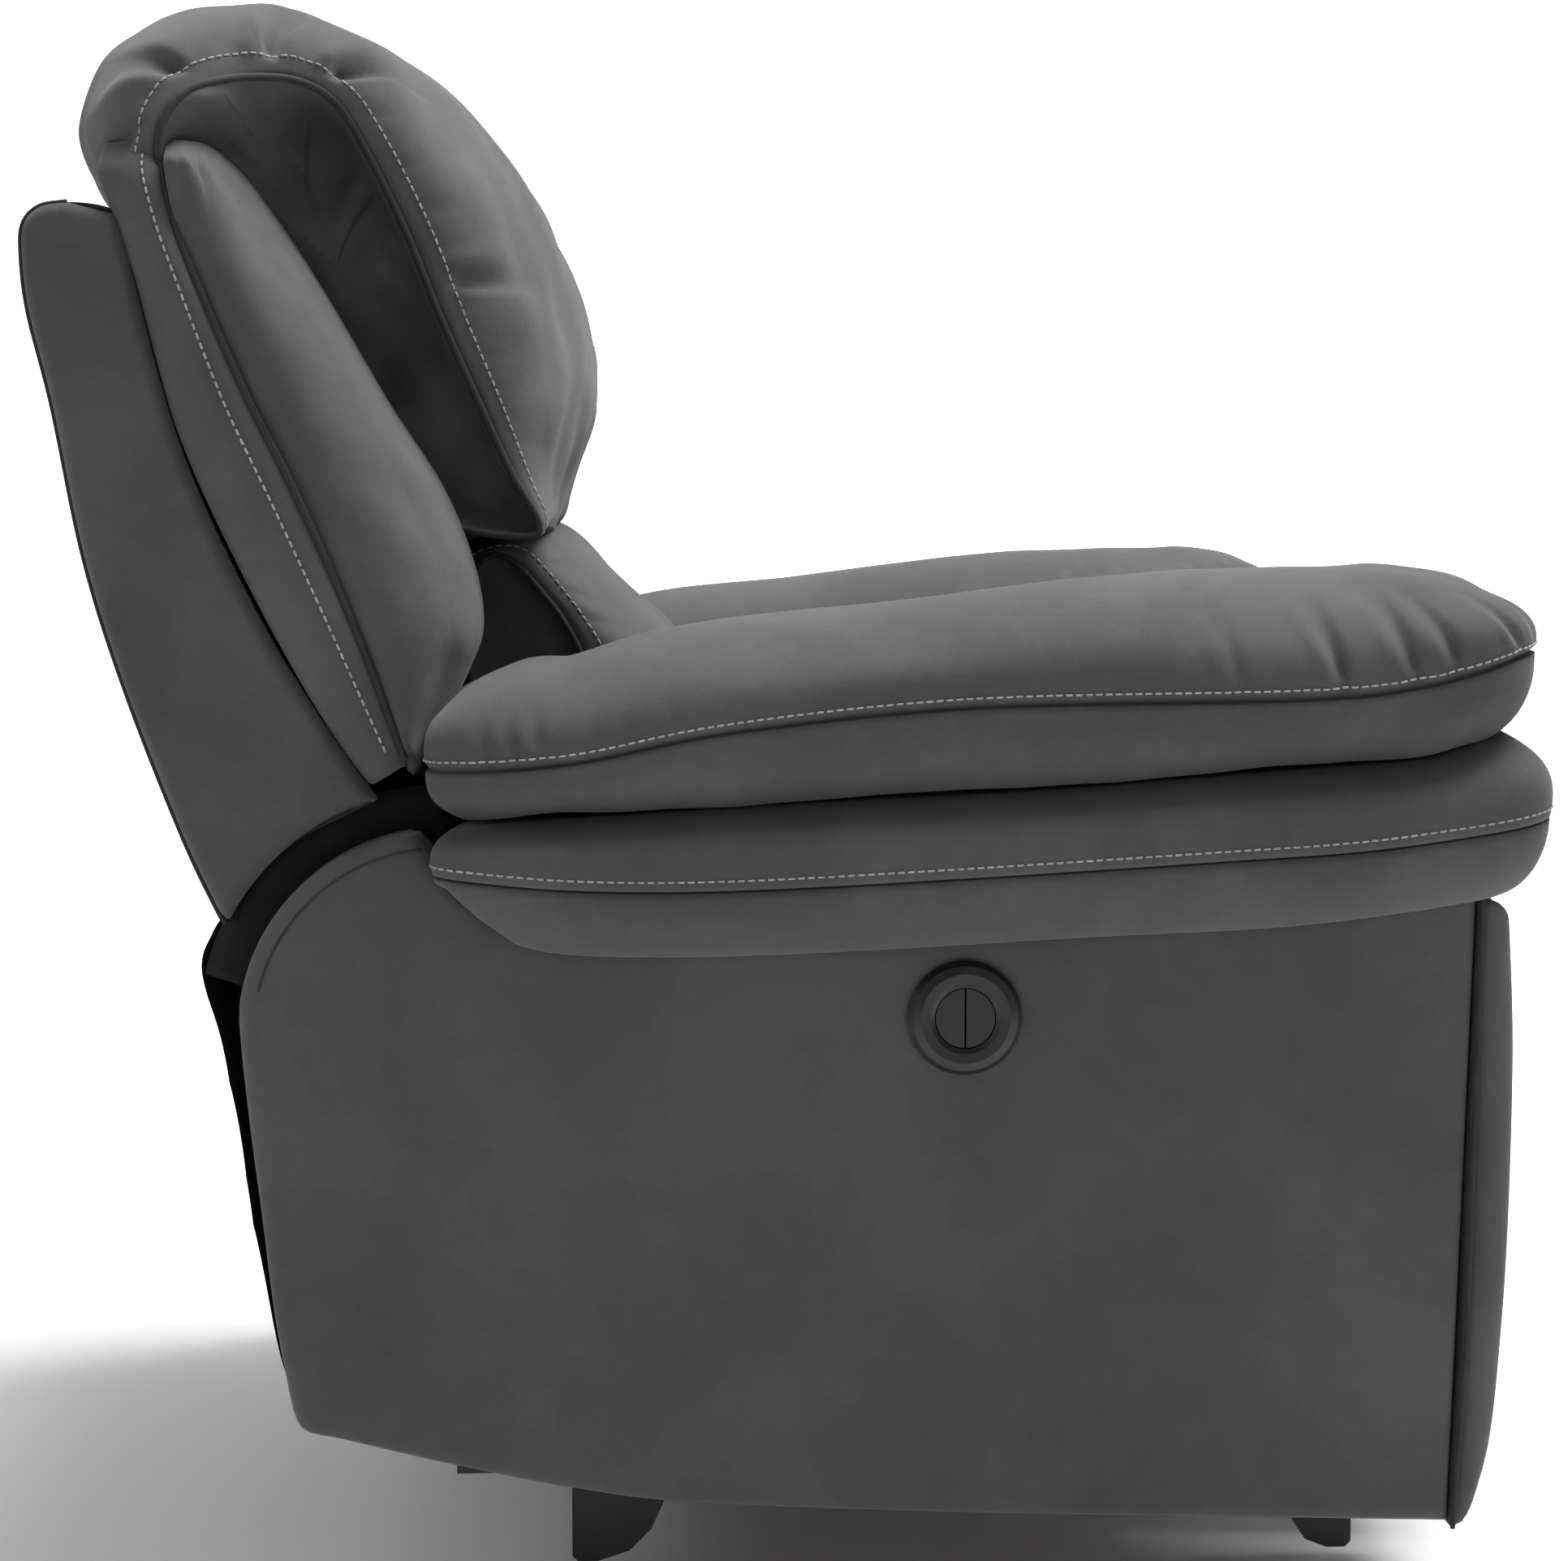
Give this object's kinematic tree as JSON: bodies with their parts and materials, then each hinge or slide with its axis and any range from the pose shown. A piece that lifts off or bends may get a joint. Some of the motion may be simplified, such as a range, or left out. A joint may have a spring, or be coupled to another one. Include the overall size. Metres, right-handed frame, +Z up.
{
  "type": "recliner armchair",
  "caption": "Upholstered power recliner armchair with pillow arms, head pillow, reclining back, scissor footrest and a round two-button switch",
  "frame": {"origin": "middle of the chair's footprint, on the floor", "axes": "+Z up, -Y the way the sitter faces, -X the sitter's right"},
  "size_m": [1, 1.01, 1.065],
  "materials": {
    "suede_arm": "charcoal faux suede, brushed matt",
    "suede_panel": "charcoal faux suede, brushed matt, flat panels",
    "suede_back": "charcoal faux suede, brushed matt, stuffed",
    "suede_seat": "charcoal faux suede, brushed matt, stuffed",
    "dust_cloth": "black non-woven dust cloth",
    "foam": "open-cell foam",
    "plywood": "sanded plywood",
    "pine": "sawn softwood",
    "black_steel": "black powder coat",
    "zinc_steel": "zinc-plated steel",
    "spring_steel": "oiled spring wire",
    "aluminium": "extruded, satin",
    "black_plastic": "moulded, fine texture",
    "switch_plastic": "moulded, semi-gloss"
  },
  "bodies": {
    "root": {"base_frame": "black_steel", "foot_front_left": "black_plastic", "foot_front_right": "black_plastic", "foot_rear_left": "black_plastic", "foot_rear_right": "black_plastic", "arm_side_board_left": "plywood", "arm_side_board_right": "plywood", "arm_inner_board_left": "suede_arm", "arm_inner_board_right": "suede_arm", "side_panel_left": "suede_panel", "side_panel_right": "suede_panel", "arm_front_left": "suede_arm", "arm_front_right": "suede_arm", "arm_roll_left": "suede_arm", "arm_roll_right": "suede_arm", "arm_pad_left": "suede_arm", "arm_pad_right": "suede_arm", "seat_side_rail_left": "pine", "seat_side_rail_right": "pine", "seat_front_rail": "pine", "seat_rear_rail": "pine", "seat_springs": "spring_steel", "seat_cushion": "suede_seat", "mech_plate_left": "black_steel", "mech_plate_right": "black_steel", "actuator_rail": "aluminium", "lead_screw": "zinc_steel", "actuator_motor": "black_plastic", "power_inlet": "black_plastic", "switch_bezel": "switch_plastic", "switch_housing": "black_plastic", "rear_cover": "dust_cloth"},
    "footrest_drive": {"torque_tube": "zinc_steel", "link_a_left": "black_steel", "link_a_right": "black_steel"},
    "link_b_left": {"link_b_left": "black_steel"},
    "link_b_right": {"link_b_right": "black_steel"},
    "footrest": {"footrest_bracket_left": "black_steel", "footrest_bracket_right": "black_steel", "footrest_board": "plywood", "footrest_pad": "suede_seat"},
    "drive_nut": {"drive_nut": "black_plastic"},
    "back": {"back_post_left": "pine", "back_post_right": "pine", "back_rail_bottom": "pine", "back_rail_top": "pine", "back_springs": "spring_steel", "back_foam": "foam", "head_pillow": "suede_back", "lumbar_cushion": "suede_back", "back_rear_panel": "suede_panel", "back_wing_left": "suede_panel", "back_wing_right": "suede_panel", "back_bolster_left": "suede_back", "back_bolster_right": "suede_back", "back_bracket_left": "black_steel", "back_bracket_right": "black_steel"},
    "button_open": {"button_open": "switch_plastic"},
    "button_close": {"button_close": "switch_plastic"}
  },
  "joints": [
    {"name": "back_recline", "type": "hinge", "parent": "root", "child": "back", "pos_m": [0, 0.247, 0.386], "axis": [-1, 0, 0], "range_deg": [0, 35], "deforming": ["rear_cover"]},
    {"name": "footrest_extend", "type": "hinge", "parent": "root", "child": "footrest_drive", "pos_m": [0, -0.328, 0.31], "axis": [-1, 0, 0], "range_deg": [0, 62]},
    {"name": "elbow_left", "type": "hinge", "parent": "footrest_drive", "child": "link_b_left", "pos_m": [0, -0.41008, 0.08447], "axis": [1, 0, 0], "range_deg": [0, 124]},
    {"name": "elbow_right", "type": "hinge", "parent": "footrest_drive", "child": "link_b_right", "pos_m": [0, -0.41008, 0.08447], "axis": [1, 0, 0], "range_deg": [0, 124]},
    {"name": "footrest_turn", "type": "hinge", "parent": "link_b_left", "child": "footrest", "pos_m": [0, -0.41008, 0.32447], "axis": [-1, 0, 0], "range_deg": [0, 148.8]},
    {"name": "nut_slide", "type": "slide", "parent": "root", "child": "drive_nut", "axis": [0, -1, 0], "range_m": [0, 0.0619]},
    {"name": "button_open_press", "type": "slide", "parent": "root", "child": "button_open", "axis": [1, 0, 0], "range_m": [0, 0.002], "stiffness_N_per_m": 400},
    {"name": "button_close_press", "type": "slide", "parent": "root", "child": "button_close", "axis": [1, 0, 0], "range_m": [0, 0.002], "stiffness_N_per_m": 400}
  ],
  "couplings": [
    {"joint": "elbow_left", "follows": "footrest_extend", "ratio": 2},
    {"joint": "elbow_right", "follows": "footrest_extend", "ratio": 2},
    {"joint": "footrest_turn", "follows": "footrest_extend", "ratio": 2.4},
    {"joint": "nut_slide", "follows": "footrest_extend", "m_per_rad": 0.05713}
  ]
}
